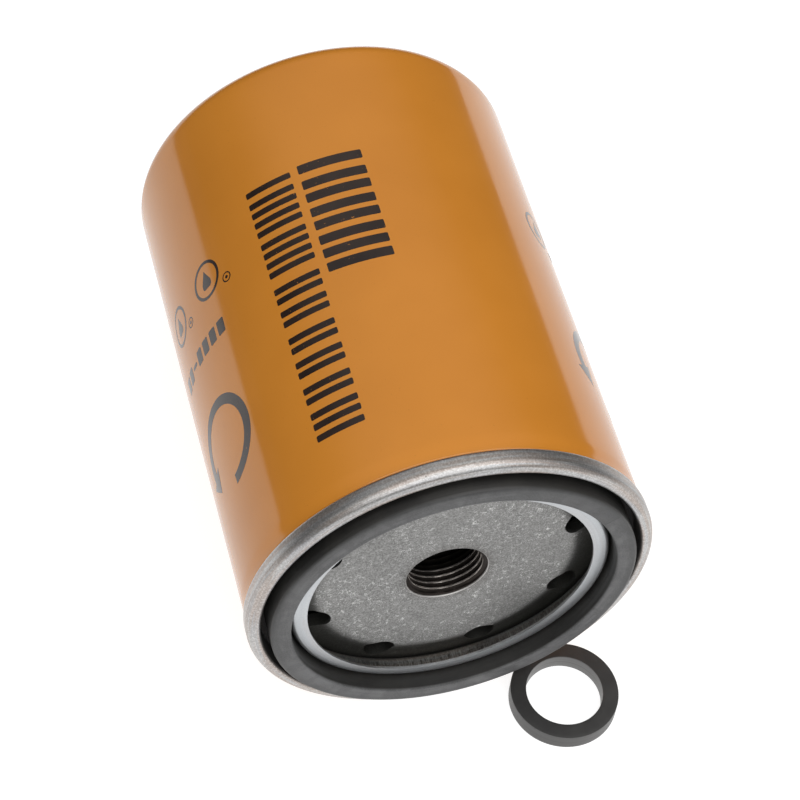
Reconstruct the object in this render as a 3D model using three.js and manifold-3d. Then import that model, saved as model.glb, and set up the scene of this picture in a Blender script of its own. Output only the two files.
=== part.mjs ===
// Spin-on filter with its loose inner seal ring, in millimetres.
//
// The filter lies on its side on the plane z = 0, with its axis along Y. The mounting end, with the gasket and the
// threaded plate, faces -Y; the closed end faces +Y. Inside the filter group, y is the depth behind the gasket's
// sealing face, and x and z are measured from the filter's axis. The origin of the whole part is the centre of its
// footprint.
import * as THREE from "three";
import { mergeVertices } from "three/addons/utils/BufferGeometryUtils.js";
import Module from "manifold-3d";

const wasm = await Module();
wasm.setup();

// ---------------------------------------------------------------- driving dimensions

// Overall
const RIM_RADIUS = 47.5; // outside of the rolled seam
const LENGTH = 135.5; // sealing face to the outside of the crown
const CROWN_RISE = 4.5; // crown beyond the flat ring of the closed end

// Sheet gauges and the double seam
const LID_GAUGE = 0.6;
const CAN_GAUGE = 0.45;
const CAP_GAUGE = 0.5;
const SEAM_GAP = 0.12; // between neighbouring layers of the seam
const SEAM_STAND_OUT = 0.7; // seam beyond the painted wall
const SEAM_FACE_DEPTH = 2.33; // sealing face to the seam's front, at its inner edge
const SEAM_FACE_FALL = 0.75; // how far the seam's front falls away towards its outer edge
const SEAM_END_DEPTH = 7.4; // sealing face to the end of the curl
const HOOK_END_GAP = 0.3; // end of each hook to the bend that it reaches into
const COMPOUND_THICKNESS = 0.44;

// Closed end
const SHOULDER_RADIUS = 5;
const CROWN_RADIUS = 31; // flat top of the crown
const CROWN_SLOPE_WIDTH = 4; // crown's sloping side, measured across

// Gasket and its channel
const GASKET_WIDTH = 4.8;
const GASKET_THICKNESS = 8;
const GASKET_GROOVE = 1.67; // open groove outside the gasket
const GASKET_FIT = 0.5; // gasket to the channel's inner wall
const LIP_DEPTH = 3.73; // sealing face to the lip
const LIP_WIDTH = 3.35; // lip inside the channel's inner wall
const BEND = 0.7; // corner cut of a bend in the lid

// Threaded plate
const PLATE_THICKNESS = 3.2;
const PLATE_RISE = 1.3; // raised centre above the trough
const PLATE_EDGE_GAP = 1.0; // plate to the lid's outer wall
const TROUGH_WIDTH = 4.15; // flat bottom of the trough round the raised centre
const PLATE_SHOULDER = 2.8; // width of the slope from the centre to the trough
const INLET_COUNT = 8;
const INLET_RADIUS = 3.7;
const INLET_TO_WALL = 0.9; // inlet hole to the lid's inner wall
const FIRST_INLET = 20; // degrees from +X towards +Z
const NECK_LENGTH = 10; // threaded neck behind the plate's centre
const NECK_WALL = 3;
const THREAD_RADIUS = 9.525; // major radius of a 3/4-16 thread
const THREAD_PITCH = 1.5875;
const THREAD_HEIGHT = 0.86;
const MOUTH_CHAMFER = 0.1; // how far the mouth opens beyond the major radius
const WELD_RADIUS = 1.8;
const WELD_DEPTH = 1; // nugget into the plate

// Element
const FLOW_GAP = 4.3; // can wall to the element's caps
const GROMMET_THICKNESS = 3.4;
const GROMMET_WIDTH = 4.4;
const NECK_FIT = 0.15; // grommet on the neck
const CAP_BORE_FIT = 0.7; // mounting-end cap round the neck
const CAP_RIM_DEPTH = 4;
const CAP_CORNER = 0.8;
const BOSS_RADIUS = 11; // spring's centring boss on the closed-end cap
const BOSS_HEIGHT = 2;
const ADHESIVE_THICKNESS = 2.5;
const TUBE_TO_NECK = 6.9; // outside of the centre tube to the outside of the neck
const TUBE_WALL = 0.6;
const TUBE_ROWS = 5;
const TUBE_HOLES_PER_ROW = 5;
const TUBE_HOLE_RADIUS = 3;
const PLEATS = 36;
const MEDIA_THICKNESS = 0.8;
const MEDIA_TO_TUBE = 0.6;
const CLIP_TO_CAP_RIM = 0.35;
const PLEAT_TIP = 0.9; // width of a fold's flat tip along its centre line
const CLIP_GAUGE = 0.4;
const CLIP_DEPTH = 6;

// Spring
const SPRING_LENGTH = 18;
const SPRING_WIRE_RADIUS = 1;
const SPRING_TURNS = 4.5;
const SPRING_FIT = 0.6; // spring round the boss
const SPRING_END_TURNS = 0.5; // flat part of a turn at each end

// Loose inner seal ring
const RING_BORE_RADIUS = 9.27;
const RING_WIDTH = 3.82;
const RING_THICKNESS = 4.3;
const RING_CLEARANCE = 0.35; // ring to the filter's rim
const RING_BEARING = -38; // degrees from +X, from the rim's corner to the ring's centre

// Assembly and mesh resolution
const CONTACT = 0.05; // between pieces that touch
const CUT_GAP = 0.3; // round a piece that passes through a cut hole
const OVERCUT = 1; // how far a cutting solid runs past the face that it cuts
const OUTER_SIDES = 40;
const INNER_SIDES = 28;
const BORE_SIDES = 16;
const SMALL_SIDES = 10;
const DRILL_SIDES = 6;
const WIRE_SIDES = 6;
const SPRING_STEPS = 14; // steps for each turn of the spring
const SHOULDER_STEPS = 4;
const THREAD_ROWS = 4; // rows of vertices for each thread pitch

// ---------------------------------------------------------------- sizes that follow

// Radii through the double seam, at mid-gauge, from the outside in
const curlRadius = RIM_RADIUS - LID_GAUGE / 2;
const layerStep = LID_GAUGE / 2 + SEAM_GAP + CAN_GAUGE / 2;
const canHookRadius = curlRadius - layerStep;
const lidHookRadius = canHookRadius - layerStep;
const neckRadius = lidHookRadius - layerStep;
const chuckRadius = neckRadius - layerStep;
const compoundStart = SEAM_FACE_DEPTH + SEAM_FACE_FALL + LID_GAUGE + SEAM_GAP;
const canHookTop = compoundStart + COMPOUND_THICKNESS + SEAM_GAP;
const canHookEnd = SEAM_END_DEPTH - LID_GAUGE - HOOK_END_GAP;
const lidHookEnd = canHookTop + CAN_GAUGE + HOOK_END_GAP;
const canRadius = RIM_RADIUS - SEAM_STAND_OUT;
const canInside = canRadius - CAN_GAUGE;

const gasketOuter = chuckRadius - LID_GAUGE / 2 - GASKET_GROOVE;
const gasketInner = gasketOuter - GASKET_WIDTH;
const channelWallRadius = gasketInner - GASKET_FIT - LID_GAUGE / 2;
const recessRadius = channelWallRadius - LID_GAUGE / 2;
const lipInner = recessRadius - LIP_WIDTH;
const channelFloor = GASKET_THICKNESS + CONTACT;
const channelBack = channelFloor + LID_GAUGE;

const plateFlange = channelBack + CONTACT;
const plateFront = plateFlange - PLATE_RISE;
const plateOuter = chuckRadius + LID_GAUGE / 2 - PLATE_EDGE_GAP;
const troughInner = recessRadius - TROUGH_WIDTH;
const plateCentreRadius = troughInner - PLATE_SHOULDER;
const inletPitchRadius = recessRadius - INLET_TO_WALL - INLET_RADIUS;
const neckOuter = THREAD_RADIUS + NECK_WALL;
const plateBack = plateFront + PLATE_THICKNESS;
const neckEnd = plateBack + NECK_LENGTH;
const weldPitchRadius = (gasketOuter + gasketInner) / 2;

const endRing = LENGTH - CROWN_RISE;
const springEnd = LENGTH - CAN_GAUGE - CONTACT;
const springStart = springEnd - SPRING_LENGTH;
const capOuter = canInside - FLOW_GAP;
const topCapFront = plateBack + GROMMET_THICKNESS + 2 * CONTACT;
const bottomCapBack = springStart - CONTACT;
const tubeStart = topCapFront + CAP_GAUGE + CONTACT;
const tubeEnd = bottomCapBack - CAP_GAUGE - CONTACT;
const mediaStart = tubeStart + ADHESIVE_THICKNESS + CONTACT;
const mediaEnd = tubeEnd - ADHESIVE_THICKNESS - CONTACT;
const tubeOuter = neckOuter + TUBE_TO_NECK;
const mediaInner = tubeOuter + MEDIA_TO_TUBE;
const mediaOuter = capOuter - CAP_GAUGE - CLIP_TO_CAP_RIM - CLIP_GAUGE - CUT_GAP;
const capBore = neckOuter + CAP_BORE_FIT;
const springRadius = BOSS_RADIUS + SPRING_FIT + SPRING_WIRE_RADIUS;
const grommetInner = neckOuter + NECK_FIT;

const axisHeight = RIM_RADIUS;
const ringOuter = RING_BORE_RADIUS + RING_WIDTH;

// ---------------------------------------------------------------- solids

const point = (radius, depth) => new THREE.Vector2(radius, depth);

function solid(geometry) {
  const bare = geometry.index ? geometry.toNonIndexed() : geometry.clone();
  bare.deleteAttribute("normal");
  bare.deleteAttribute("uv");
  const merged = mergeVertices(bare, 1e-4);
  return new wasm.Manifold(
    new wasm.Mesh({
      numProp: 3,
      vertProperties: new Float32Array(merged.attributes.position.array),
      triVerts: new Uint32Array(merged.index.array),
    }),
  );
}

function geometryOf(manifold) {
  const mesh = manifold.getMesh();
  const geometry = new THREE.BufferGeometry();
  geometry.setAttribute("position", new THREE.BufferAttribute(mesh.vertProperties, 3));
  geometry.setIndex(new THREE.BufferAttribute(mesh.triVerts, 1));
  const faceted = geometry.toNonIndexed();
  faceted.computeVertexNormals();
  return faceted;
}

// A solid of revolution about Y. The outline is closed here unless it begins and ends on the axis. A flat of the
// many-sided surface faces down, and each flat touches the true circle at its middle.
function revolve(outline, sides) {
  const cornerOverFlat = 1 / Math.cos(Math.PI / sides);
  const points = outline.map((p) => point(p.x * cornerOverFlat, p.y));
  if (THREE.ShapeUtils.area(points) < 0) {
    points.reverse();
  }
  const onAxis = points[0].x === 0 && points[points.length - 1].x === 0;
  if (!onAxis) {
    points.push(points[0].clone());
  }
  return new THREE.LatheGeometry(points, sides, Math.PI / sides, 2 * Math.PI);
}

// The outline of a formed sheet: its centre line moved half a gauge to each side, with mitred corners.
function sheetOutline(line, gauge) {
  const side = (sign) =>
    line.map((p, i) => {
      const before = line[Math.max(i - 1, 0)];
      const after = line[Math.min(i + 1, line.length - 1)];
      const along = i > 0 ? p.clone().sub(before).normalize() : after.clone().sub(p).normalize();
      const onward = i < line.length - 1 ? after.clone().sub(p).normalize() : along;
      const normal = point(-along.y - onward.y, along.x + onward.x).normalize();
      const stretch = normal.dot(point(-along.y, along.x));
      return p.clone().addScaledVector(normal, (sign * gauge) / 2 / stretch);
    });
  return [...side(1), ...side(-1).reverse()];
}

// The same for a sheet that ends on the axis: both of its last points are put exactly on it.
function sheetToAxis(line, gauge) {
  const outline = sheetOutline(line, gauge);
  const last = line.length - 1;
  outline[last].x = 0;
  outline[last + 1].x = 0;
  return [...outline.slice(last + 1), ...outline.slice(0, last + 1)];
}

const ringOutline = (inner, outer, start, end) => [
  point(inner, start),
  point(outer, start),
  point(outer, end),
  point(inner, end),
];

function arc(centreRadius, centreDepth, radius, fromDegrees, toDegrees, steps) {
  return Array.from({ length: steps + 1 }, (_, i) => {
    const angle = THREE.MathUtils.degToRad(fromDegrees + ((toDegrees - fromDegrees) * i) / steps);
    return point(centreRadius + radius * Math.cos(angle), centreDepth + radius * Math.sin(angle));
  });
}

// A cylinder along Y at a radius and an angle from the axis.
function pinAt(radius, sides, start, end, pitchRadius, degrees) {
  const angle = THREE.MathUtils.degToRad(degrees);
  return new THREE.CylinderGeometry(radius, radius, end - start, sides).translate(
    pitchRadius * Math.cos(angle),
    (start + end) / 2,
    pitchRadius * Math.sin(angle),
  );
}

const aroundAxis = (count, first) => Array.from({ length: count }, (_, i) => first + (360 / count) * i);
const weldAngles = aroundAxis(INLET_COUNT, FIRST_INLET + 180 / INLET_COUNT); // a weld between each two inlets

// ---------------------------------------------------------------- housing

function canShell() {
  const mid = CAN_GAUGE / 2;
  const hookTop = canHookTop + mid;
  const neckStep = SEAM_END_DEPTH + SEAM_GAP + mid;
  const wall = canRadius - mid;
  const endMid = endRing - mid;
  const line = [
    point(canHookRadius, canHookEnd),
    point(canHookRadius, hookTop + mid),
    point(canHookRadius - mid, hookTop),
    point(neckRadius + mid, hookTop),
    point(neckRadius, hookTop + mid),
    point(neckRadius, neckStep - mid),
    point(neckRadius + mid, neckStep),
    point(wall - mid, neckStep),
    point(wall, neckStep + mid),
    ...arc(wall - SHOULDER_RADIUS, endMid - SHOULDER_RADIUS, SHOULDER_RADIUS, 0, 90, SHOULDER_STEPS),
    point(CROWN_RADIUS + CROWN_SLOPE_WIDTH, endMid),
    point(CROWN_RADIUS, LENGTH - mid),
    point(0, LENGTH - mid),
  ];
  return revolve(sheetToAxis(line, CAN_GAUGE), OUTER_SIDES);
}

function seamingLid() {
  const mid = LID_GAUGE / 2;
  const lip = LIP_DEPTH + mid;
  const floor = channelFloor + mid;
  const faceIn = SEAM_FACE_DEPTH + mid;
  const faceOut = faceIn + SEAM_FACE_FALL;
  const curlEnd = SEAM_END_DEPTH - mid;
  const line = [
    point(lipInner, lip),
    point(channelWallRadius - BEND, lip),
    point(channelWallRadius, lip + BEND),
    point(channelWallRadius, floor - BEND),
    point(channelWallRadius + BEND, floor),
    point(chuckRadius - BEND, floor),
    point(chuckRadius, floor - BEND),
    point(chuckRadius, faceIn + mid),
    point(chuckRadius + mid, faceIn),
    point(curlRadius - mid, faceOut),
    point(curlRadius, faceOut + 2 * mid),
    point(curlRadius, curlEnd - mid),
    point(curlRadius - mid, curlEnd),
    point(lidHookRadius + mid, curlEnd),
    point(lidHookRadius, curlEnd - mid),
    point(lidHookRadius, lidHookEnd),
  ];
  let lid = solid(revolve(sheetOutline(line, LID_GAUGE), OUTER_SIDES));
  for (const degrees of weldAngles) {
    const hole = pinAt(
      WELD_RADIUS + CUT_GAP,
      SMALL_SIDES,
      channelFloor - OVERCUT,
      channelBack + OVERCUT,
      weldPitchRadius,
      degrees,
    );
    lid = lid.subtract(solid(hole));
  }
  return geometryOf(lid);
}

function seamCompound() {
  const inner = chuckRadius + LID_GAUGE / 2 + SEAM_GAP;
  const outer = curlRadius - LID_GAUGE - SEAM_GAP; // short of the bend at the seam's front corner
  return revolve(ringOutline(inner, outer, compoundStart, compoundStart + COMPOUND_THICKNESS), OUTER_SIDES);
}

// The threaded bore as a rod to cut with: a plain rod whose rows are moved into a right-hand helical thread, with a
// chamfer at each mouth.
function threadRod() {
  const rows = Math.ceil(((neckEnd - plateFront) / THREAD_PITCH) * THREAD_ROWS);
  const rowStep = (neckEnd - plateFront) / rows;
  const outline = [point(0, plateFront - OVERCUT)];
  for (let row = -1; row <= rows + 1; row += 1) {
    outline.push(point(THREAD_RADIUS, plateFront + row * rowStep));
  }
  outline[1].y = plateFront - OVERCUT;
  outline[outline.length - 1].y = neckEnd + OVERCUT;
  outline.push(point(0, neckEnd + OVERCUT));
  const rod = revolve(outline, BORE_SIDES);
  const place = rod.attributes.position;
  const minor = THREAD_RADIUS - THREAD_HEIGHT;
  const mouth = THREAD_RADIUS + MOUTH_CHAMFER;
  for (let i = 0; i < place.count; i += 1) {
    const [x, y, z] = [place.getX(i), place.getY(i), place.getZ(i)];
    const radius = Math.hypot(x, z);
    if (radius < THREAD_RADIUS / 2) {
      continue; // the two points on the axis
    }
    const turns = y / THREAD_PITCH + Math.atan2(z, x) / (2 * Math.PI);
    const height = Math.abs(2 * (turns - Math.floor(turns)) - 1);
    const behindMouth = Math.max(Math.min(y - plateFront, neckEnd - y), 0);
    const wanted = Math.max(minor + THREAD_HEIGHT * height, mouth - behindMouth);
    place.setX(i, (x / radius) * wanted);
    place.setZ(i, (z / radius) * wanted);
  }
  return rod;
}

function basePlate() {
  const roughBore = THREAD_RADIUS / 2;
  const outline = [
    point(plateOuter, plateFlange),
    point(plateOuter, plateFlange + PLATE_THICKNESS),
    point(troughInner, plateFlange + PLATE_THICKNESS),
    point(plateCentreRadius, plateBack),
    point(neckOuter, plateBack),
    point(neckOuter, neckEnd),
    point(roughBore, neckEnd),
    point(roughBore, plateFront),
    point(plateCentreRadius, plateFront),
    point(troughInner, plateFlange),
  ];
  let plate = solid(revolve(outline, OUTER_SIDES)).subtract(solid(threadRod()));
  for (const degrees of aroundAxis(INLET_COUNT, FIRST_INLET)) {
    const hole = pinAt(
      INLET_RADIUS,
      SMALL_SIDES,
      plateFront - OVERCUT,
      plateFlange + PLATE_THICKNESS + OVERCUT,
      inletPitchRadius,
      degrees,
    );
    plate = plate.subtract(solid(hole));
  }
  for (const degrees of weldAngles) {
    const pocket = pinAt(
      WELD_RADIUS + CUT_GAP,
      SMALL_SIDES,
      plateFlange - OVERCUT,
      plateFlange + WELD_DEPTH,
      weldPitchRadius,
      degrees,
    );
    plate = plate.subtract(solid(pocket));
  }
  return geometryOf(plate);
}

function spotWeld(degrees) {
  return pinAt(
    WELD_RADIUS,
    SMALL_SIDES,
    channelFloor + CONTACT,
    plateFlange + WELD_DEPTH - CONTACT,
    weldPitchRadius,
    degrees,
  );
}

// ---------------------------------------------------------------- element

function topCap() {
  const mid = CAP_GAUGE / 2;
  const disc = topCapFront + mid;
  const line = [
    point(capBore, disc),
    point(capOuter - mid - CAP_CORNER, disc),
    point(capOuter - mid, disc + CAP_CORNER),
    point(capOuter - mid, disc + CAP_RIM_DEPTH),
  ];
  return revolve(sheetOutline(line, CAP_GAUGE), INNER_SIDES);
}

function bottomCap() {
  const mid = CAP_GAUGE / 2;
  const disc = bottomCapBack - mid;
  const line = [
    point(capOuter - mid, disc - CAP_RIM_DEPTH),
    point(capOuter - mid, disc - CAP_CORNER),
    point(capOuter - mid - CAP_CORNER, disc),
    point(BOSS_RADIUS - mid, disc),
    point(BOSS_RADIUS - mid - CAP_CORNER, disc + BOSS_HEIGHT),
    point(0, disc + BOSS_HEIGHT),
  ];
  return revolve(sheetToAxis(line, CAP_GAUGE), INNER_SIDES);
}

function adhesiveDisc(start) {
  return revolve(
    ringOutline(
      tubeOuter + CONTACT,
      capOuter - CAP_GAUGE - CAP_CORNER,
      start,
      start + ADHESIVE_THICKNESS - CONTACT,
    ),
    INNER_SIDES,
  );
}

function centreTube() {
  let tube = solid(revolve(ringOutline(tubeOuter - TUBE_WALL, tubeOuter, tubeStart, tubeEnd), INNER_SIDES));
  const rowStep = (mediaEnd - mediaStart) / TUBE_ROWS;
  for (let row = 0; row < TUBE_ROWS; row += 1) {
    const depth = mediaStart + (row + 0.5) * rowStep;
    const first = (row % 2) * (180 / TUBE_HOLES_PER_ROW);
    for (const degrees of aroundAxis(TUBE_HOLES_PER_ROW, first)) {
      const drill = new THREE.CylinderGeometry(TUBE_HOLE_RADIUS, TUBE_HOLE_RADIUS, tubeOuter, DRILL_SIDES)
        .rotateZ(Math.PI / 2)
        .translate(tubeOuter, depth, 0)
        .rotateY(THREE.MathUtils.degToRad(degrees));
      tube = tube.subtract(solid(drill));
    }
  }
  return geometryOf(tube);
}

// The folded paper: one strip that runs out and back PLEATS times round the tube. Its two ends lie side by side at
// the outer edge, where the clip holds them.
const halfFold = Math.PI / PLEATS;
const endGap = CONTACT + MEDIA_THICKNESS;

function polar(radius, angle, sideways) {
  const out = point(Math.cos(angle), Math.sin(angle));
  return point(
    radius * out.x - sideways * out.y,
    radius * out.y + sideways * out.x,
  );
}

function mediaStrip() {
  const mid = MEDIA_THICKNESS / 2;
  const line = [polar(mediaOuter, 0, endGap / 2)];
  for (let fold = 0; fold < PLEATS; fold += 1) {
    const root = 2 * halfFold * fold + halfFold;
    const tip = root + halfFold;
    line.push(polar(mediaInner + mid, root, -PLEAT_TIP / 2));
    line.push(polar(mediaInner + mid, root, PLEAT_TIP / 2));
    if (fold < PLEATS - 1) {
      line.push(polar(mediaOuter - mid, tip, -PLEAT_TIP / 2));
      line.push(polar(mediaOuter - mid, tip, PLEAT_TIP / 2));
    }
  }
  line.push(polar(mediaOuter, 0, -endGap / 2));
  return extrudeAlongAxis(sheetOutline(line, MEDIA_THICKNESS), mediaStart, mediaEnd);
}

// Extrudes an outline drawn in x and z along the filter's axis.
function extrudeAlongAxis(outline, start, end) {
  const depth = end - start;
  return new THREE.ExtrudeGeometry(new THREE.Shape(outline), { depth, bevelEnabled: false, steps: 1 })
    .rotateX(Math.PI / 2)
    .translate(0, end, 0);
}

// A U of thin sheet whose legs run along the outsides of the strip's two end panels.
function seamClip() {
  const panelEnd = polar(mediaOuter, 0, endGap / 2);
  const panelRoot = polar(mediaInner + MEDIA_THICKNESS / 2, halfFold, -PLEAT_TIP / 2);
  const inward = panelRoot.clone().sub(panelEnd).normalize();
  const outward = point(inward.y, -inward.x);
  const legEnd = panelEnd
    .clone()
    .addScaledVector(inward, CLIP_DEPTH)
    .addScaledVector(outward, (MEDIA_THICKNESS + CLIP_GAUGE) / 2 + CONTACT);
  const back = mediaOuter + CUT_GAP + CLIP_GAUGE / 2;
  const backHalf = legEnd.y + ((back - legEnd.x) * inward.y) / inward.x;
  const line = [
    point(legEnd.x, -legEnd.y),
    point(back, -backHalf),
    point(back, backHalf),
    point(legEnd.x, legEnd.y),
  ];
  return extrudeAlongAxis(sheetOutline(line, CLIP_GAUGE), mediaStart, mediaEnd);
}

// ---------------------------------------------------------------- spring

class SpringLine extends THREE.Curve {
  getPoint(t, target = new THREE.Vector3()) {
    const turns = t * SPRING_TURNS;
    const rising = SPRING_TURNS - 2 * SPRING_END_TURNS;
    const rise = THREE.MathUtils.clamp((turns - SPRING_END_TURNS) / rising, 0, 1);
    const angle = turns * 2 * Math.PI;
    const free = SPRING_LENGTH - 2 * SPRING_WIRE_RADIUS;
    return target.set(
      springRadius * Math.cos(angle),
      springStart + SPRING_WIRE_RADIUS + free * rise,
      springRadius * Math.sin(angle),
    );
  }
}

function elementSpring() {
  const section = new THREE.Shape(
    aroundAxis(WIRE_SIDES, 0).map((degrees) => polar(SPRING_WIRE_RADIUS, THREE.MathUtils.degToRad(degrees), 0)),
  );
  return new THREE.ExtrudeGeometry(section, {
    steps: Math.round(SPRING_TURNS * SPRING_STEPS),
    extrudePath: new SpringLine(),
    bevelEnabled: false,
  });
}

// ---------------------------------------------------------------- materials and assembly

const finish = (color, roughness, metalness) => () =>
  new THREE.MeshStandardMaterial({ color, roughness, metalness });

const orangePaint = finish(0xcc8338, 0.18, 0);
const bareSteel = finish(0xa9a8a4, 0.35, 1);
const greySteel = finish(0x8b8985, 0.55, 1);
const darkRubber = finish(0x3a3a3c, 0.75, 0);
const blackRubber = finish(0x2a2a2b, 0.65, 0);
const sealingCompound = finish(0x7a4a2a, 0.6, 0);
const tinplate = finish(0xb9bab8, 0.3, 1);
const filterPaper = finish(0xd8c08a, 0.9, 0);
const pottingGlue = finish(0xc9c2a8, 0.5, 0);
const springSteel = finish(0x6d6c6a, 0.35, 1);

function piece(name, geometry, material) {
  const mesh = new THREE.Mesh(geometry, material());
  mesh.name = name;
  return mesh;
}

const element = new THREE.Group();
element.add(
  piece(
    "element_grommet",
    revolve(
      ringOutline(
        grommetInner,
        grommetInner + GROMMET_WIDTH,
        plateBack + CONTACT,
        plateBack + CONTACT + GROMMET_THICKNESS,
      ),
      INNER_SIDES,
    ),
    blackRubber,
  ),
  piece("element_top_cap", topCap(), tinplate),
  piece("top_adhesive", adhesiveDisc(tubeStart), pottingGlue),
  piece("pleated_media", mediaStrip(), filterPaper),
  piece("media_seam_clip", seamClip(), tinplate),
  piece("centre_tube", centreTube(), tinplate),
  piece("bottom_adhesive", adhesiveDisc(tubeEnd - ADHESIVE_THICKNESS + CONTACT), pottingGlue),
  piece("element_bottom_cap", bottomCap(), tinplate),
);

const filter = new THREE.Group();
filter.add(
  piece("can_shell", canShell(), orangePaint),
  piece("seaming_lid", seamingLid(), bareSteel),
  piece("seam_compound", seamCompound(), sealingCompound),
  piece("base_plate", basePlate(), greySteel),
  piece(
    "outer_gasket",
    revolve(ringOutline(gasketInner, gasketOuter, 0, GASKET_THICKNESS), OUTER_SIDES),
    darkRubber,
  ),
  piece("element_spring", elementSpring(), springSteel),
  element,
);
weldAngles.forEach((degrees, i) => filter.add(piece(`spot_weld_${i + 1}`, spotWeld(degrees), greySteel)));

// The loose ring lies flat beside the rim, just clear of its front corner.
const overRing = Math.sqrt(RIM_RADIUS ** 2 - (axisHeight - RING_THICKNESS) ** 2);
const rimCorner = SEAM_FACE_DEPTH + SEAM_FACE_FALL + LID_GAUGE;
const bearing = THREE.MathUtils.degToRad(RING_BEARING);
const ringPlace = new THREE.Vector3(
  overRing + (ringOuter + RING_CLEARANCE) * Math.cos(bearing),
  rimCorner + (ringOuter + RING_CLEARANCE) * Math.sin(bearing),
  0,
);
const ring = piece(
  "loose_inner_seal",
  revolve(ringOutline(RING_BORE_RADIUS, ringOuter, 0, RING_THICKNESS), INNER_SIDES),
  blackRubber,
);
ring.rotation.x = Math.PI / 2;
ring.position.copy(ringPlace);

filter.position.z = axisHeight;
const footprintStart = Math.min(0, ringPlace.y - ringOuter);
const part = new THREE.Group();
part.add(filter, ring);
part.position.y = -(LENGTH + footprintStart) / 2;

export default part;
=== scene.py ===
# A spin-on filter with its loose inner seal ring: the looks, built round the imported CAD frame.
#
# Blender works in metres. The shapes here are written in millimetres: a profile point is (radius, depth),
# the radius from the filter's axis and the depth behind the gasket's sealing face. Angles go round the axis
# from +X towards +Z.

import random
from math import atan2, ceil, cos, floor, pi, radians, sin, tan

import bmesh
import bpy
from mathutils import Matrix, Vector, noise


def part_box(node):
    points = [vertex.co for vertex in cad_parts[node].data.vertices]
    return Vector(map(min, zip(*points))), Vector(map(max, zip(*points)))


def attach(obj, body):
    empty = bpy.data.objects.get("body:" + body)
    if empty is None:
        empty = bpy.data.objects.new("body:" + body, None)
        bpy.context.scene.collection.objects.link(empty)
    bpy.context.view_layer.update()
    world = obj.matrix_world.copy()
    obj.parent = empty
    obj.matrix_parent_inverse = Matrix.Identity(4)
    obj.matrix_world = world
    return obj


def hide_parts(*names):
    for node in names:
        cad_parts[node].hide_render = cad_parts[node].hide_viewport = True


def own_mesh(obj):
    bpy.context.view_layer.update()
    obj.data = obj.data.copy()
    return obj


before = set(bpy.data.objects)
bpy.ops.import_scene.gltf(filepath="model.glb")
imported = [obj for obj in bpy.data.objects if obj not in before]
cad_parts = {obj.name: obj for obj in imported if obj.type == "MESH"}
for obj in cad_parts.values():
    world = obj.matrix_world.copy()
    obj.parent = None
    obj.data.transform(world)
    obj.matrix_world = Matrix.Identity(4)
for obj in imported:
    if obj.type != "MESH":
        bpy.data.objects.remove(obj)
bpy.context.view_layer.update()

MM = 0.001
MICRON = 0.000001
TAU = 2 * pi

# ---- sizes of the frame

FACE_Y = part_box("outer_gasket")[0].y / MM
AXIS_Z = (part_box("can_shell")[0].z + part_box("can_shell")[1].z) / 2 / MM


def size(node):
    """Outer radius, first depth and last depth of a node that is round about the filter's axis."""
    low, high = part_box(node)
    return (high.x - low.x) / 2 / MM, low.y / MM - FACE_Y, high.y / MM - FACE_Y


CAN_RADIUS, CAN_START, CAN_END = size("can_shell")
RIM_RADIUS, RIM_FRONT, LID_BACK = size("seaming_lid")
GASKET_RADIUS, _, GASKET_DEPTH = size("outer_gasket")
PLATE_RADIUS, PLATE_FRONT, NECK_END = size("base_plate")
COMPOUND_RADIUS, COMPOUND_START, COMPOUND_END = size("seam_compound")
GROMMET_RADIUS, GROMMET_START, GROMMET_END = size("element_grommet")
TOP_CAP_RADIUS, TOP_CAP_START, TOP_CAP_END = size("element_top_cap")
BOTTOM_CAP_RADIUS, BOTTOM_CAP_START, BOTTOM_CAP_END = size("element_bottom_cap")
TUBE_RADIUS, TUBE_START, TUBE_END = size("centre_tube")
_, MEDIA_START, MEDIA_END = size("pleated_media")
GLUE_RADIUS, TOP_GLUE_START, TOP_GLUE_END = size("top_adhesive")
_, BOTTOM_GLUE_START, BOTTOM_GLUE_END = size("bottom_adhesive")
_, SPRING_START, SPRING_END = size("element_spring")
RING_LOW, RING_HIGH = (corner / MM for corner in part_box("loose_inner_seal"))

# ---- sizes of the sheets and of the details

LID_GAUGE = 0.6
CAN_GAUGE = 0.45
CAP_GAUGE = 0.5
SEAM_LAYER_STEP = 0.645  # from the middle of one layer of the seam to the next
SEAM_FACE_FALL = 0.75
SEAM_END = 7.4
CAN_HOOK_END = 6.5
LID_HOOK_END = 5.11
STEP_GAP = 0.12  # between the seam and the can's step
SHOULDER_RADIUS = 5
CROWN_RISE = 4.5
CROWN_RADIUS = 31
CROWN_SLOPE = 4
WALL_WAVE = 0.035  # how far the drawn wall dips between its high spots
WALL_WAVE_RATE = 1.6
WALL_WAVE_LENGTH = 42
WAVE_START = SEAM_END + 1
WAVE_STOP = 14  # how far before the closed end the waves stop
WAVE_FADE_START = 10  # lengths over which they fade out
WAVE_FADE_END = 14
NECK_IN = 0.22  # how far the wall draws in beside the seam
NECK_IN_START = 8.4
NECK_IN_END = 12.4

# bend radii of the can and the lid, at the middle of the sheet
CAN_HOOK_BEND = 0.45
CAN_NECK_BEND = 0.35
CAN_STEP_BEND = 0.5
CROWN_FOOT_BEND = 2.5
CROWN_BEND = 3
LIP_BEND = 0.85
CHANNEL_BEND = 0.7
CHUCK_BEND = 0.5
CURL_BEND = 1.5
LID_HOOK_BEND = 0.6

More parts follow.
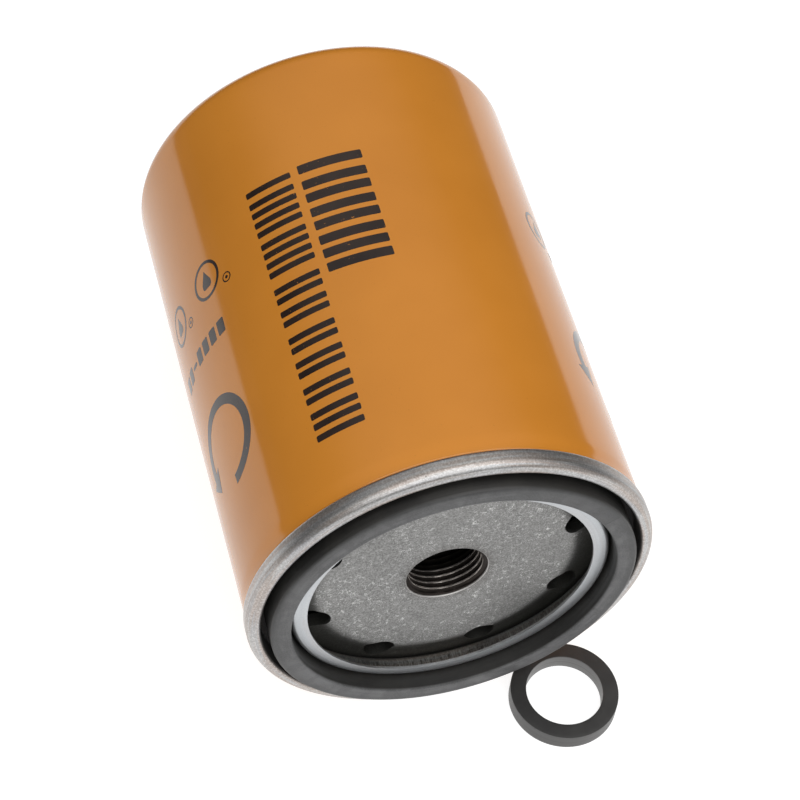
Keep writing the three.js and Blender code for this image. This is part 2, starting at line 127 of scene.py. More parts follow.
GASKET_WIDTH = 4.8
GASKET_INNER_EDGE = 0.6
GASKET_OUTER_EDGE = 0.9
GASKET_BACK_EDGE = 0.3
GASKET_WAVE = 0.03
GASKET_WAVE_RATE = 3
GASKET_WAVE_WIDTH = 4
JOINT_ANGLE = 33.5  # degrees round the filter, where the gasket's face shows its joint
JOINT_FADE_START = 50.0  # the face is darker beyond the joint, up to here
JOINT_FADE_END = 95.0
CHANNEL_WALL = 37.05  # middle of the sheet between the gasket and the recess
CHANNEL_OUTER = 44.6
RECESS_EDGE = 37.3  # radius within which the sheet is the recess's wall or the lip
LIP_INNER = 33.4
LIP_DEPTH = 3.73
LIP_BACK = 4.3
LIP_RIPPLE = 0.035
LIP_RIPPLE_RATE = 30
LIP_UNEVEN = 0.85  # how much further out the lip's edge lies on its wide side
LIP_WIDE_SIDE = 248  # degrees round the filter
RIM_RELIEF = 0.05  # how far the rim's face stays behind the CAD's
RIM_WAVE = 0.02
RIM_WAVE_RATE = 5
RIB_PITCH = 1.15
RIB_START = 5.0
RIB_END = 7.3
RIB_HEIGHT = 0.28
RIB_CREST = 0.55  # share of its width
RIB_FRONT_SLOPE = 0.2
RIB_BACK_SLOPE = 0.3
RIB_SINK = 0.05
RIB_THICK = 0.2
RIB_CHANCE = 0.86

PLATE_GAUGE = 3.2
PLATE_RISE = 1.3
PLATE_CENTRE = 29.8
PLATE_BEND = 4  # at the back of the plate
PLATE_FRONT_BEND = 6
NECK_FOOT_BEND = 1.5
PLATE_EDGE = 0.4
PLATE_FRONT_EDGE = 0.6
TROUGH_INNER = 32.6
INLET_RADIUS = 3.7
INLET_PITCH = 32.15
INLET_CUT = (5, 15)  # depths that the cutting tool reaches from and to
FIRST_INLET = 20
INLET_COUNT = 8
THREAD_RADIUS = 9.525
THREAD_PITCH = 1.5875
THREAD_HEIGHT = 0.86
THREAD_CREST = 0.25  # crest and flank as shares of half a turn
THREAD_FLANK = 0.625
THREAD_RUN_OUT = 0.4  # from a face to the thread's first row
THREAD_ROWS = 16  # to a turn
MOUTH_RADIUS = THREAD_RADIUS + 0.1
MOUTH_CHAMFER = 0.3
BORE_DARK_START = 5.0  # behind the plate's face, from where the painted shade in the bore deepens to black
BORE_DARK_END = 7.5
NECK_RADIUS = 12.525
WELD_PITCH = 40.25
WELD_RADIUS = 1.8
WELD_EDGES = (0.3, 0.5)
COMPOUND_GAP = 0.42
COMPOUND_EDGE = 0.15
GROMMET_WIDTH = 4.4
GROMMET_EDGE = 0.4
RING_WIDTH = 3.82
RING_BORE = (RING_HIGH.x - RING_LOW.x) / 2 - RING_WIDTH
RING_EDGE = 0.14

CAP_BEND = 1.0
BOSS_RADIUS = 11
BOSS_HEIGHT = 2
BOSS_TAPER = 0.8
BOSS_BEND = 0.7
CAP_BORE = 13.225
GLUE_EDGE = 0.3
TUBE_WALL = 0.6
TUBE_EDGE = 0.1
TUBE_ROWS = 5
TUBE_HOLES = 5
TUBE_HOLE_RADIUS = 3
PLEATS = 36
PAPER = 0.8
FOLD_HALF = 0.45  # half the width of a fold, between its two bends
FOLD_BEND = 0.42
MEDIA_RADIUS = 40.5
MEDIA_TO_TUBE = 0.6
CLIP_GAUGE = 0.4
CLIP_DEPTH = 6
CLIP_BEND = 0.3
GAP = 0.05  # between pieces that would otherwise share a face
SPRING_RADIUS = 12.6
SPRING_WIRE = 1
SPRING_TURNS = 4.5

INK = 0.02  # printed marks above the paint
INK_SINK = 0.06  # how far their undersides reach into the wall

OUTER_SEGMENTS = 256
INNER_SEGMENTS = 128
PLATE_SEGMENTS = 192
RING_SEGMENTS = 160
INLET_SEGMENTS = 48
SMALL_SEGMENTS = 32
WIRE_SIDES = 18
COIL_STEPS = 48  # to a turn

# ---- studio and camera, in metres and degrees

TABLE_HALF = 6.0
TABLE_GLOW_MIDDLE = 0.16  # how far the pool of light is off to the side
TABLE_GLOW_INNER = 0.575
TABLE_GLOW_OUTER = 0.610
TABLE_FAR = 0.10  # share of the table's brightness that is left beyond
TABLE_GLOW = 0.85
TABLE_WHITE = 0.35
SOFT_BOX_SIDE = 1.5
SOFT_BOX_POWER = 10.5
SOFT_BOX_PLACE = (0.06, -0.40, 0.80)
SOFT_BOX_AIM = (0, 0, 0.04)
ROOM_LOW = 0.04
ROOM_HIGH = 0.45
ROOM_RISE = (0.35, 0.8)  # heights between which the room brightens
ROOM_COLOUR = (1.0, 0.99, 0.98, 1.0)

CAMERA_PLACE = (-0.12791, -0.34164, 0.53205)
CAMERA_AZIMUTH = -20.90
CAMERA_ELEVATION = 53.13
CAMERA_ROLL = 7.83
CAMERA_LENS = 114.78
CAMERA_SENSOR = 36

# ---- profiles

BEND_SHARE = 0.49  # of a side that a bend may take up
MITRE_LIMIT = 0.3
ON_AXIS = 1e-5


def held(value):
    """value, held between 0 and 1."""
    return min(max(value, 0), 1)


def rounded(corners, closed=False, steps=6, longest=None):
    """The path through corners (x, y, bend radius), with an arc at each bend."""
    count = len(corners)
    path = []
    for i, corner in enumerate(corners):
        here = Vector(corner[:2])
        bend = corner[2] if len(corner) > 2 else 0
        if bend == 0 or (not closed and i in (0, count - 1)):
            path.append(here)
            continue
        back = Vector(corners[i - 1][:2]) - here
        onward = Vector(corners[(i + 1) % count][:2]) - here
        half = back.angle(onward) / 2
        reach = min(bend / tan(half), BEND_SHARE * back.length, BEND_SHARE * onward.length)
        radius = reach * tan(half)
        middle = (back.normalized() + onward.normalized()).normalized()
        centre = here + middle * (radius / sin(half))
        first = here + back.normalized() * reach - centre
        last = here + onward.normalized() * reach - centre
        start = atan2(first.y, first.x)
        sweep = (atan2(last.y, last.x) - start + pi) % TAU - pi
        for k in range(steps + 1):
            angle = start + sweep * k / steps
            path.append(centre + Vector((cos(angle), sin(angle))) * radius)
    return divided(path, longest, closed) if longest else path


def divided(path, longest, closed):
    """The same path with no step longer than the given one."""
    made = []
    for i, here in enumerate(path):
        made.append(here)
        if i == len(path) - 1 and not closed:
            break
        onward = path[(i + 1) % len(path)] - here
        parts = ceil(onward.length / longest)
        made += [here + onward * (k / parts) for k in range(1, parts)]
    return made


def sides(path, gauge):
    """The two faces of a bent sheet whose middle is the path."""
    left, right = [], []
    for i, here in enumerate(path):
        before = (here - path[i - 1]).normalized() if i > 0 else None
        after = (path[i + 1] - here).normalized() if i < len(path) - 1 else before
        before = before or after
        along = (before + after).normalized()
        across = Vector((-along.y, along.x))
        reach = gauge / 2 / max(across.dot(Vector((-after.y, after.x))), MITRE_LIMIT)
        left.append(here + across * reach)
        right.append(here - across * reach)
    return left, right


def sheet(corners, gauge, steps=6, longest=None):
    """The closed outline of a bent sheet whose middle runs through the corners."""
    left, right = sides(rounded(corners, steps=steps, longest=longest), gauge)
    return left + right[::-1]


def ring_outline(inner, outer, start, end, edge, longest=None):
    """The closed outline of a ring with rounded edges."""
    corners = [(inner, start, edge), (outer, start, edge), (outer, end, edge), (inner, end, edge)]
    return rounded(corners, closed=True, steps=5, longest=longest)


# ---- meshes


def on_filter(radius, angle, depth):
    """A point in metres from a radius, an angle round the filter's axis and a depth."""
    return Vector((radius * cos(angle), FACE_Y + depth, AXIS_Z + radius * sin(angle))) * MM


def about(pitch, degrees):
    """A placing function for something round whose own axis runs along the filter, off its centre."""
    centre = on_filter(pitch, radians(degrees), 0)

    def place(radius, angle, depth):
        return centre + Vector((radius * cos(angle), depth, radius * sin(angle))) * MM

    return place


def outward(point):
    """The direction away from the filter's axis at a point in metres."""
    return Vector((point.x, 0, point.z - AXIS_Z * MM)).normalized()


def ripple(angle, rate, along=0.0):
    """Smooth noise round the axis, from -1 to 1. A higher rate has more waves."""
    return noise.noise(Vector((cos(angle) * rate, sin(angle) * rate, along)))


def bridge(bm, rows, loop=True):
    """Adds the faces between each row of vertices and the next."""
    for here, after in zip(rows, rows[1:]):
        for k in range(len(here) if loop else len(here) - 1):
            n = (k + 1) % len(here)
            corners = list(dict.fromkeys((here[k], here[n], after[n], after[k])))
            if len(corners) > 2:
                bm.faces.new(corners)


def turn(bm, outline, segments, place=on_filter, shift=None):
    """Adds the closed outline, turned about an axis.

    shift(radius, angle, depth) gives a point's changed radius and depth.
    """
    rings = []
    for p in outline:
        if p.x < ON_AXIS:
            rings.append([bm.verts.new(place(0, 0, p.y))] * segments)
            continue
        ring = []
        for k in range(segments):
            angle = TAU * k / segments
            radius, depth = shift(p.x, angle, p.y) if shift else (p.x, p.y)
            ring.append(bm.verts.new(place(radius, angle, depth)))
        rings.append(ring)
    bridge(bm, rings + rings[:1])


def turned(outline, segments, place=on_filter, shift=None):
    bm = bmesh.new()
    turn(bm, outline, segments, place, shift)
    return bm


def strip(bm, path, gauge, start, end, steps=1):
    """Adds a bent sheet that runs along the filter: the path is in x and z from the axis."""
    left, right = sides(path, gauge)
    rows = []
    for k in range(steps + 1):
        y = (FACE_Y + start + (end - start) * k / steps) * MM
        row = [[bm.verts.new((p.x * MM, y, AXIS_Z * MM + p.y * MM)) for p in face] for face in (left, right)]
        rows.append(row)
    last = len(path) - 1
    for i in range(last):
        for (a, b), (c, d) in zip(rows, rows[1:]):
            bm.faces.new((a[i], a[i + 1], c[i + 1], c[i]))
            bm.faces.new((b[i], d[i], d[i + 1], b[i + 1]))
        for a, b in (rows[0], rows[-1]):
            bm.faces.new((a[i], a[i + 1], b[i + 1], b[i]))
    for (a, b), (c, d) in zip(rows, rows[1:]):
        for i in (0, last):
            bm.faces.new((a[i], b[i], d[i], c[i]))


def wire(bm, route, radius, sides_round):
    """Adds a round wire along a route of (point, direction away from the axis) pairs in metres."""
    rings = []
    for i, (here, out) in enumerate(route):
        ahead = route[min(i + 1, len(route) - 1)][0] - route[max(i - 1, 0)][0]
        across = ahead.normalized().cross(out).normalized()
        ring = []
        for k in range(sides_round):
            angle = TAU * k / sides_round
            ring.append(bm.verts.new(here + (out * cos(angle) + across * sin(angle)) * radius))
        rings.append(ring)
    bridge(bm, rings)
    for ring in (rings[0], rings[-1]):
        bm.faces.new(ring)


def in_scene(name, bm):
    """Makes an object of a mesh."""
    mesh = bpy.data.meshes.new(name)
    bm.to_mesh(mesh)
    bm.free()
    obj = bpy.data.objects.new(name, mesh)
    bpy.context.scene.collection.objects.link(obj)
    return obj


def piece(name, bm, finish, body, nodes=(), sharp=38):
    """Makes an object of a mesh, gives it its material and puts it on its body."""
    bmesh.ops.recalc_face_normals(bm, faces=bm.faces)
    obj = in_scene(name, bm)
    obj.data.shade_smooth()
    obj.data.set_sharp_from_angle(angle=radians(sharp))
    obj.data.materials.append(finish)
    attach(obj, body)
    if nodes:
        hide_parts(*nodes)
    return obj


def cut(bm, tools):
    """The mesh bm with the mesh tools cut out of it."""
    objects = []
    for name, source in (("cut_body", bm), ("cut_tools", tools)):
        bmesh.ops.recalc_face_normals(source, faces=source.faces)
        objects.append(in_scene(name, source))
    body, tool = objects
    modifier = body.modifiers.new("cut", "BOOLEAN")
    modifier.operation = "DIFFERENCE"
    modifier.solver = "EXACT"
    modifier.object = tool
    depsgraph = bpy.context.evaluated_depsgraph_get()
    result = bmesh.new()
    result.from_mesh(body.evaluated_get(depsgraph).data)
    for obj in objects:
        bpy.data.objects.remove(obj)
    return result


# ---- materials


class Finish:
    """A Principled material, with short names for the nodes that feed it."""

    def __init__(self, name, **uniform):
        self.material = bpy.data.materials.new(name)
        self.material.use_nodes = True
        self.tree = self.material.node_tree
        self.shader = self.tree.nodes["Principled BSDF"]
        for socket, value in uniform.items():
            self.shader.inputs[socket.replace("_", " ")].default_value = value
        self.place = self.tree.nodes.new("ShaderNodeTexCoord").outputs["Object"]

    def node(self, kind, inputs, output=0, **settings):
        made = self.tree.nodes.new("ShaderNode" + kind)
        for key, value in settings.items():
            setattr(made, key, value)
        for key, value in inputs.items():
            self.feed(made.inputs[key], value)
        return made.outputs[output]

    def feed(self, socket, value):
        if isinstance(value, bpy.types.NodeSocket):
            self.tree.links.new(value, socket)
        else:
            socket.default_value = value

    def math(self, operation, a, b=0.0):
        return self.node("Math", {0: a, 1: b}, operation=operation)

    def times(self, first, *others):
        """The product of masks and plain shares."""
        for value in others:
            first = self.math("MULTIPLY", first, value)
        return first

    def between(self, value, low, high, to_low=0.0, to_high=1.0):
        """value carried from low..high to to_low..to_high, and held at the ends."""
        inputs = {"Value": value, "From Min": low, "From Max": high, "To Min": to_low, "To Max": to_high}
        return self.node("MapRange", inputs, clamp=True)

    def spread(self, value, low=0.0, high=1.0):
        """Noise carried to low..high. Nearly all of it lies between 0.3 and 0.7."""
        return self.between(value, 0.3, 0.7, low, high)

    def mix(self, share, a, b):
        inputs = {0: share, 6: colour(a), 7: colour(b)}
        return self.node("Mix", inputs, output=2, data_type="RGBA")

    def layers(self, tint, *coats):
        """A colour with coats over it in turn, each the product of some shares, then a colour."""
        for *shares, coat in coats:
            tint = self.mix(self.times(*shares), tint, coat)
        return tint

    def noise(self, scale, detail=3.0, rough=0.55, where=None, distortion=0.0):
        inputs = {"Vector": where or self.place, "Scale": scale, "Detail": detail, "Roughness": rough}
        return self.node("TexNoise", {**inputs, "Distortion": distortion})

    def cells(self, scale, where=None, feature="F1", output="Distance"):
        inputs = {"Vector": where or self.place, "Scale": scale}
        return self.node("TexVoronoi", inputs, output=output, feature=feature)

    def part(self, axis):
        return self.node("SeparateXYZ", {0: self.place}, output=axis)

    def radius(self, x=0.0, axis="Z", y=AXIS_Z * MM):
        """Millimetres from an axis, the filter's own unless another is given in metres."""
        across = self.math("POWER", self.math("SUBTRACT", self.part("X"), x), 2.0)
        up = self.math("POWER", self.math("SUBTRACT", self.part(axis), y), 2.0)
        return self.math("DIVIDE", self.math("SQRT", self.math("ADD", across, up)), MM)

    def depth(self):
        """Depth in millimetres behind the gasket's sealing face."""
        return self.math("SUBTRACT", self.math("DIVIDE", self.part("Y"), MM), FACE_Y)

    def angle(self):
        """Angle round the filter's axis, in degrees."""
        up = self.math("SUBTRACT", self.part("Z"), AXIS_Z * MM)
        return self.math("MULTIPLY", self.math("ARCTAN2", up, self.part("X")), 180 / pi)

    def inside(self, value, low, high, soft):
        """1 where value lies between low and high, with soft edges outside them."""
        return self.times(self.between(value, low - soft, low), self.between(value, high + soft, high))

    def lines(self, along, across, detail=3.0, rough=0.55):
        """Noise drawn out into lines round the filter's axis: along is per metre, across per millimetre."""
        away = self.times(self.math("ADD", self.radius(), self.depth()), across)
        inputs = {0: self.times(self.part("X"), along), 1: away, 2: self.times(self.part("Z"), along)}
        return self.noise(1.0, detail=detail, rough=rough, where=self.node("CombineXYZ", inputs))

    def bump(self, height, distance, strength=1.0, under=None):
        inputs = {"Height": height, "Distance": distance, "Strength": strength}
        if under:
            inputs["Normal"] = under
        return self.node("Bump", inputs)

    def done(self, **linked):
        for socket, value in linked.items():
            self.feed(self.shader.inputs[socket.replace("_", " ")], value)
        return self.material


def colour(value):
    return (*value, 1.0) if isinstance(value, tuple) and len(value) == 3 else value


def orange_paint():
    f = Finish("orange_enamel", IOR=1.5)
    cloudy = f.between(f.noise(22.0), 0.35, 0.65)
    specks = f.between(f.noise(2600.0, detail=1.0), 0.74, 0.78)
    tint = f.layers(
        f.mix(cloudy, (0.590, 0.219, 0.026), (0.640, 0.243, 0.031)),
        (specks, 0.35, (0.30, 0.10, 0.02)),
    )
    peel = f.noise(700.0, detail=2.0)
    smear = f.spread(f.noise(60.0, detail=5.0), 0.09, 0.14)
    return f.done(Base_Color=tint, Roughness=smear, Normal=f.bump(peel, 1.2 * MICRON))


def print_ink():
    f = Finish("printed_ink", IOR=1.5)
    holes = f.between(f.noise(1500.0, detail=2.0), 0.70, 0.74)
    wear_and_glints = f.between(f.noise(160.0, detail=2.0), 0.45, 0.7)
    shade = f.mix(f.spread(f.noise(90.0)), (0.017, 0.010, 0.008), (0.034, 0.022, 0.017))
    tint = f.mix(f.times(holes, wear_and_glints), shade, (0.590, 0.230, 0.035))
    return f.done(Base_Color=tint, Roughness=f.spread(f.noise(60.0, detail=5.0), 0.11, 0.17))


def bare_steel():
    """Drawn sheet steel: streaked and scored round the axis and bluish on the lip, with painted shade in the
    gasket channel and on the recess wall under the lip, and painted glints on the ribs.
    """
    f = Finish("bright_sheet_steel", Metallic=1.0)
    away, depth = f.radius(), f.depth()
    stain = f.between(f.noise(55.0, detail=4.0), 0.38, 0.66)
    fine = f.lines(25.0, 2.5, rough=0.7)
    bluish = f.between(f.lines(60.0, 0.5, detail=2.0), 0.35, 0.7, 0.0, 0.5)
    warm = f.between(f.lines(40.0, 0.9), 0.46, 0.57, 0.0, 0.75)
    scored = f.between(f.lines(30.0, 4.5, detail=2.0), 0.50, 0.60, 0.0, 0.35)
    sand = f.noise(2300.0, detail=3.0, rough=0.7)
    nicks = f.between(f.noise(700.0, detail=1.0), 0.77, 0.80)
    lip = f.between(away, RECESS_EDGE, RECESS_EDGE - 0.3)
    lip = f.times(lip, f.between(depth, LIP_BACK, LIP_BACK - 0.2))
    # painted shade: the recess wall below the lip is darkened, and its ribbed band more so
    under_lip = f.between(away, RECESS_EDGE + 0.3, RECESS_EDGE)
    under_lip = f.times(under_lip, f.between(depth, LIP_BACK, LIP_BACK + 0.2))
    ribbed = f.times(under_lip, f.between(depth, RIB_END + 0.4, RIB_END))
    # painted highlights: pale streaks on the ribbed band stand in for glints on the ribs
    upright = f.node("CombineXYZ", {0: f.angle(), 1: f.times(depth, 0.12)})
    rib_glints = f.between(f.noise(1.3, detail=3.0, rough=0.7, where=upright), 0.50, 0.62)
    # painted shade: the gasket channel is darkened, and made rougher
    channel = f.times(f.inside(away, RECESS_EDGE - 0.3, CHANNEL_OUTER, 0.3), f.between(depth, 2.2, 3.2))
    tint = f.layers(
        f.mix(stain, (0.59, 0.59, 0.575), (0.47, 0.45, 0.44)),
        (bluish, (0.37, 0.385, 0.42)),
        (warm, (0.43, 0.35, 0.30)),
        (f.between(sand, 0.50, 0.60, 0.0, 0.38), (0.26, 0.255, 0.25)),
        (f.between(sand, 0.50, 0.40, 0.0, 0.40), (0.76, 0.76, 0.76)),
        (scored, (0.30, 0.29, 0.285)),
        (nicks, 0.7, (0.10, 0.095, 0.09)),
        (lip, 0.75, (0.53, 0.555, 0.58)),
        # painted shade under the lip and on the ribbed band
        (under_lip, 0.20, (0.05, 0.052, 0.05)),
        (ribbed, 0.22, (0.04, 0.042, 0.04)),
        # painted glints on the ribs
        (ribbed, rib_glints, 0.55, (0.62, 0.63, 0.60)),
        # painted shade in the channel
        (channel, 0.85, (0.03, 0.03, 0.03)),
    )
    rough = f.math("ADD", f.spread(fine, 0.36, 0.50), f.times(channel, 0.35))
    brushed = f.bump(fine, 10 * MICRON, 0.6)
    return f.done(Base_Color=tint, Roughness=rough, Normal=f.bump(sand, 10 * MICRON, 0.8, under=brushed))


def grey_steel():
    """Sanded plate: specks and curls on its face, painted shade in the trough and the bore, a painted
    highlight on the thread's mouth and painted glints along the thread's crests.
    """
    f = Finish("sanded_plate_steel", Metallic=1.0)
    away, depth = f.radius(), f.depth()
    sand = f.noise(2200.0, detail=3.0, rough=0.7)
    cloud = f.between(f.noise(45.0, detail=4.0), 0.32, 0.68)
    patches = f.between(f.noise(90.0, detail=3.0), 0.34, 0.56, 0.25, 1.0)
    specks = f.times(f.between(f.cells(2500.0), 0.28, 0.16), patches)
    push = f.node("TexNoise", {"Vector": f.place, "Scale": 300.0}, output=1)
    bent = f.node("MixRGB", {0: 0.010, 1: f.place, 2: push})
    curls = f.between(f.cells(560.0, where=bent, feature="DISTANCE_TO_EDGE"), 0.050, 0.020)
    some = f.times(f.between(f.noise(560.0, detail=1.0), 0.54, 0.60), patches)
    smudge = f.inside(f.math("ADD", away, f.times(f.noise(130.0), 3.0)), 10.0, 11.5, 2.2)
    # painted shade: the trough beyond the edge of the flat face is darkened
    fall = f.between(depth, PLATE_FRONT + 0.05, PLATE_FRONT + PLATE_RISE)
    trough = f.times(f.between(away, PLATE_CENTRE - 2.0, PLATE_CENTRE - 1.6), fall)
    within = f.between(away, THREAD_RADIUS + 0.5, THREAD_RADIUS + 0.2)
    # painted highlight: the chamfer at the thread's mouth is made pale
    mouth = f.times(within, f.between(depth, PLATE_FRONT + 0.01, PLATE_FRONT + 0.06))
    # painted shade: the bore is made near black, and blacker still deeper in
    bore = f.times(within, f.between(depth, PLATE_FRONT + 0.27, PLATE_FRONT + 0.35))
    dark_from, dark_to = PLATE_FRONT + BORE_DARK_START, PLATE_FRONT + BORE_DARK_END
    crest = THREAD_RADIUS - THREAD_HEIGHT
    # painted highlights: pale lines along the thread's crests near the mouth stand in for glints
    wear_and_glints = f.times(
        bore,
        f.between(away, crest + 0.07, crest + 0.02),
        f.between(depth, dark_to, dark_from),
        f.between(f.noise(150.0), 0.35, 0.60, 0.35, 1.0),
    )
    tint = f.layers(
        f.mix(cloud, (0.185, 0.184, 0.180), (0.240, 0.239, 0.233)),
        (f.between(sand, 0.40, 0.62), (0.325, 0.323, 0.316)),
        (specks, 0.70, (0.72, 0.72, 0.71)),
        (f.times(curls, some), 0.75, (0.78, 0.78, 0.77)),
        (smudge, 0.30, (0.085, 0.072, 0.064)),
        # painted shade in the trough
        (trough, 0.90, (0.085, 0.085, 0.076)),
        # painted highlight on the mouth's chamfer
        (mouth, 0.8, (0.74, 0.72, 0.70)),
        # painted shade in the bore, deepening with depth
        (bore, 0.97, (0.021, 0.015, 0.012)),
        (bore, f.between(depth, dark_from, dark_to, 0.0, 0.85), (0.004, 0.004, 0.003)),
        # painted glints on the thread's crests
        (wear_and_glints, (0.95, 0.88, 0.82)),
    )
    rough = f.spread(sand, 0.62, 0.46)
    return f.done(Base_Color=tint, Roughness=rough, Normal=f.bump(sand, 22 * MICRON, 0.9))


def gasket_rubber():
    """Moulded rubber: black walls and a dusty face, rubbed at its outer edge, with the line of its joint."""
    f = Finish("moulded_gasket_rubber", IOR=1.5)
    mottle = f.between(f.noise(90.0, detail=5.0, rough=0.6), 0.42, 0.58)
    rings = f.between(f.lines(55.0, 1.1), 0.44, 0.60)
    blots = f.between(f.noise(240.0, detail=4.0, rough=0.6), 0.46, 0.58)
    fine = f.between(f.noise(2600.0, detail=2.0), 0.46, 0.58)
    rubbed = f.between(f.radius(), GASKET_RADIUS - 0.4, GASKET_RADIUS - 2.6, 0.60, 0.0)
    where = f.math("ADD", f.angle(), f.times(f.noise(250.0), 0.8))
    joint = f.inside(where, JOINT_ANGLE - 0.1, JOINT_ANGLE + 0.1, 0.25)
    beyond = f.between(where, JOINT_ANGLE, JOINT_ANGLE + 0.3)
    beyond = f.times(beyond, f.between(where, JOINT_FADE_END, JOINT_FADE_START))
    dusty = f.layers(
        f.mix(mottle, (0.047, 0.047, 0.048), (0.090, 0.090, 0.092)),
        (rings, 0.55, (0.150, 0.150, 0.153)),
        (blots, 0.45, (0.036, 0.036, 0.037)),
        (fine, 0.25, (0.150, 0.150, 0.152)),
        (rubbed, (0.034, 0.034, 0.034)),
        (beyond, 0.35, (0.038, 0.039, 0.040)),
        (joint, 0.6, (0.030, 0.031, 0.032)),
    )
    wall = f.mix(mottle, (0.013, 0.0125, 0.0115), (0.021, 0.020, 0.018))
    tint = f.mix(f.between(f.depth(), 0.55, 0.10), wall, dusty)
    rough = f.between(rings, 0.0, 1.0, 0.46, 0.60)
    return f.done(Base_Color=tint, Roughness=rough, Normal=f.bump(rings, 18 * MICRON, 0.5))


def seal_rubber(name):
    """What both small rings share: a material, its colour and its cutting lines."""
    f = Finish(name, IOR=1.5)
    mottle = f.between(f.noise(160.0, detail=4.0), 0.35, 0.65)
    tint = f.mix(mottle, (0.024, 0.023, 0.0225), (0.035, 0.034, 0.033))
    stretched = f.node("VectorMath", {0: f.place, 1: (60, 60, 2600)}, operation="MULTIPLY")
    return f, tint, f.noise(1.0, detail=3.0, where=stretched)


def seal_done(f, tint, lines):
    rough = f.spread(lines, 0.36, 0.50)
    return f.done(Base_Color=tint, Roughness=rough, Normal=f.bump(lines, 10 * MICRON, 0.5))


def loose_seal_rubber():
    """The loose ring's rubber: its cut walls are paler than its moulded faces."""
    f, tint, lines = seal_rubber("loose_seal_rubber")
    height = f.math("DIVIDE", f.part("Z"), MM)
    low, high = RING_LOW.z, RING_HIGH.z
    middle = (low + high) / 2
    centre = (RING_LOW + RING_HIGH) / 2 * MM
    bore = f.between(f.radius(centre.x, "Y", centre.y), RING_BORE + 0.6, RING_BORE + 0.3)
    rubbed = f.spread(lines)
    outer = f.mix(rubbed, (0.060, 0.058, 0.056), (0.085, 0.083, 0.081))
    inner = f.mix(rubbed, (0.130, 0.128, 0.125), (0.170, 0.168, 0.165))
    wall = f.inside(height, low + 0.3, high - 0.16, 0.08)
    parting = f.inside(height, middle - 0.05, middle + 0.05, 0.08)
    # painted highlight: a pale band along the rounded top edge
    edge = f.inside(height, high - 0.14, high - 0.03, 0.03)
    tint = f.layers(
        tint,
        (wall, f.mix(bore, outer, inner)),
        (parting, 0.5, (0.022, 0.021, 0.020)),
        # painted highlight on the rounded top edge
        (edge, 0.6, (0.15, 0.148, 0.145)),
    )
    return seal_done(f, tint, lines)


def grommet_rubber():
    return seal_done(*seal_rubber("square_cut_seal_rubber"))


def sealing_compound():
    f = Finish("sealing_compound", Roughness=0.6)
    return f.done(Base_Color=f.mix(f.noise(700.0), (0.16, 0.06, 0.025), (0.24, 0.09, 0.04)))


def tinplate():
    f = Finish("tinplate", Metallic=1.0)
    spangle = f.cells(330.0, output="Color")
    tint = f.mix(f.between(spangle, 0.0, 1.0), (0.56, 0.56, 0.55), (0.66, 0.66, 0.65))
    return f.done(Base_Color=tint, Roughness=f.spread(f.noise(400.0), 0.26, 0.38))


def dark_cap_steel():
    # painted shade: the mounting end cap is made near black so the can's inside, seen through the inlet
    # holes, reads dark
    f = Finish("shaded_dark_cap_steel", Metallic=1.0)
    tint = f.mix(f.noise(420.0, detail=3.0), (0.030, 0.029, 0.028), (0.055, 0.054, 0.052))
    return f.done(Base_Color=tint, Roughness=f.spread(f.noise(900.0), 0.50, 0.62))


def filter_paper():
    f = Finish("filter_paper", Roughness=0.9)
    fibres = f.noise(1800.0, detail=5.0, rough=0.7, distortion=1.5)
    tint = f.mix(f.spread(fibres), (0.60, 0.42, 0.20), (0.72, 0.55, 0.30))
    return f.done(Base_Color=tint, Normal=f.bump(fibres, 40 * MICRON, 0.8))


def potting_glue():
    f = Finish("potting_glue", Roughness=0.42)
    tint = f.mix(f.noise(120.0), (0.50, 0.46, 0.34), (0.62, 0.57, 0.43))
    return f.done(Base_Color=tint, Normal=f.bump(f.noise(260.0), 100 * MICRON, 0.6))


def spring_steel():
    f = Finish("oil_tempered_wire", Metallic=1.0)
    tint = f.mix(f.noise(350.0, detail=4.0), (0.10, 0.098, 0.095), (0.20, 0.195, 0.19))
    return f.done(Base_Color=tint, Roughness=f.spread(f.noise(900.0), 0.28, 0.42))


# ---- housing

# the middles of the seam's five layers, from the outside in
CURL = RIM_RADIUS - LID_GAUGE / 2
CAN_HOOK = CURL - SEAM_LAYER_STEP
LID_HOOK = CAN_HOOK - SEAM_LAYER_STEP
NECK = LID_HOOK - SEAM_LAYER_STEP
CHUCK = NECK - SEAM_LAYER_STEP


def wall_radius(angle, depth):
    """The painted wall's radius: a drawn can is never quite round or straight."""
    dip = 0.5 + 0.5 * ripple(angle, WALL_WAVE_RATE, depth / WALL_WAVE_LENGTH)
    ends = min((depth - WAVE_START) / WAVE_FADE_START, (CAN_END - WAVE_STOP - depth) / WAVE_FADE_END)
    share = held((NECK_IN_END - depth) / (NECK_IN_END - NECK_IN_START))
    neck_in = NECK_IN * share * share * (3 - 2 * share)
    return CAN_RADIUS - WALL_WAVE * dip * held(ends) - neck_in


def can_body():
    mid = CAN_GAUGE / 2
    step = SEAM_END + STEP_GAP + mid
    end_ring = CAN_END - CROWN_RISE - mid
    wall = CAN_RADIUS - mid
    line = [
        (CAN_HOOK, CAN_HOOK_END),
        (CAN_HOOK, CAN_START + mid, CAN_HOOK_BEND),
        (NECK, CAN_START + mid, CAN_HOOK_BEND),
        (NECK, step, CAN_NECK_BEND),
        (wall, step, CAN_STEP_BEND),
        *((wall, NECK_IN_START + (NECK_IN_END - NECK_IN_START) * k / 8) for k in range(9)),
        (wall, end_ring, SHOULDER_RADIUS - mid),
        (CROWN_RADIUS + CROWN_SLOPE, end_ring, CROWN_FOOT_BEND),
        (CROWN_RADIUS, CAN_END - mid, CROWN_BEND),
        (0, CAN_END - mid),
    ]

    def shift(radius, angle, depth):
        return radius + (wall_radius(angle, depth) - CAN_RADIUS if radius > NECK + 1 else 0), depth

    bm = turned(sheet(line, CAN_GAUGE, steps=10, longest=3.0), OUTER_SEGMENTS, shift=shift)
    piece("painted_can", bm, orange_paint(), "housing", ["can_shell"])


